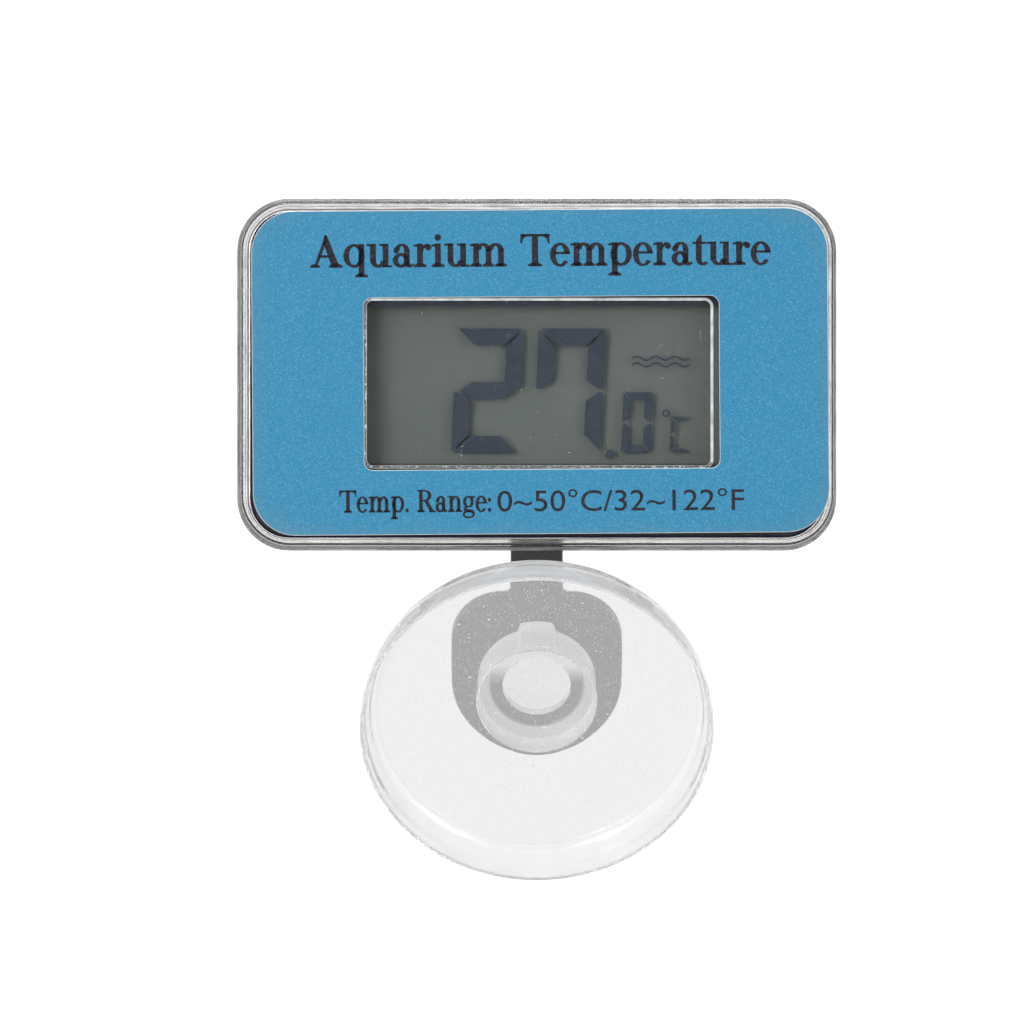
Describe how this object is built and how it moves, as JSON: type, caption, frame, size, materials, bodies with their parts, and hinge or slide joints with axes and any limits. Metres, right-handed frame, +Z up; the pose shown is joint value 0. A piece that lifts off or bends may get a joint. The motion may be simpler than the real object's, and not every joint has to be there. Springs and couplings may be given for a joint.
{
  "type": "submersible digital aquarium thermometer",
  "caption": "Clear-cased digital aquarium thermometer with a blue-bordered display, a screwed battery cap behind it, and a suction cup on a black hanger.",
  "frame": {"origin": "centre of the suction cup's lip, in the plane of the pane that it sticks to", "axes": "-Y towards the pane, +X to the right of the display as it is read, +Z up the pane; the case leans back 31 degrees"},
  "size_m": [0.055, 0.0309, 0.06],
  "materials": {
    "clear_cover": "clear, polished",
    "pearl_label": "pearly satin print",
    "gasket": "satin",
    "housing": "fine spark-eroded grain",
    "foam": "matt closed-cell foam",
    "polariser": "clear grey film",
    "display_glass": "polished",
    "edge_sealant": "cured epoxy",
    "reflector": "grey-green satin foil",
    "display_print": "dark lit segments",
    "label_print": "black ink",
    "holder": "fine grain",
    "zebra_rubber": "silicone with dark stripes",
    "board": "green solder mask",
    "screw_steel": "zinc plated",
    "black_epoxy": "glossy drop",
    "resistor_body": "glazed",
    "capacitor_body": "fired ceramic",
    "crystal_can": "drawn can",
    "contact_bronze": "spring bronze",
    "cell_steel": "nickel plated",
    "cell_nylon": "nylon",
    "cap_plastic": "fine grain",
    "oring_rubber": "satin",
    "sensor_steel": "drawn stainless steel",
    "sensor_rubber": "satin",
    "thermistor_bead": "epoxy bead with tinned leads",
    "hanger_plastic": "satin",
    "clear_pvc": "clear soft PVC"
  },
  "bodies": {
    "cup": {"suction_cup": "clear_pvc"},
    "case": {"front_cover": "clear_cover", "face_label": "pearl_label", "case_gasket": "gasket", "rear_housing": "housing", "lcd_foam_frame": "foam", "lcd_front_polariser": "polariser", "lcd_front_glass": "display_glass", "lcd_edge_seal": "edge_sealant", "lcd_rear_glass": "display_glass", "lcd_reflector": "reflector", "lcd_holder": "holder", "zebra_strip": "zebra_rubber", "circuit_board": "board", "pcb_screws": "screw_steel", "chip_blob": "black_epoxy", "chip_resistors": "resistor_body", "chip_capacitors": "capacitor_body", "timing_crystal": "crystal_can", "cell_can": "cell_steel", "cell_gasket": "cell_nylon", "cell_cap": "cell_steel", "positive_contact": "contact_bronze", "negative_contact": "contact_bronze", "sensor_cap": "sensor_steel", "sensor_seal": "sensor_rubber", "thermistor": "thermistor_bead", "hanger": "hanger_plastic"},
    "cap_seal": {"battery_cap_oring": "oring_rubber"},
    "battery_cap": {"battery_cap": "cap_plastic"}
  },
  "joints": [
    {"name": "cup_swivel", "type": "hinge", "parent": "cup", "child": "case", "pos_m": [0, 0.01103, 0], "axis": [0, 1, 0], "continuous": true},
    {"name": "cap_travel", "type": "slide", "parent": "case", "child": "cap_seal", "axis": [0, 0.8572, -0.515], "range_m": [0, 0.002]},
    {"name": "cap_turn", "type": "hinge", "parent": "cap_seal", "child": "battery_cap", "pos_m": [0, 0.02351, 0.02478], "axis": [0, 0.8572, -0.515], "range_deg": [0, 720]}
  ],
  "couplings": [
    {"joint": "cap_travel", "follows": "cap_turn", "m_per_rad": 0.00015915}
  ]
}
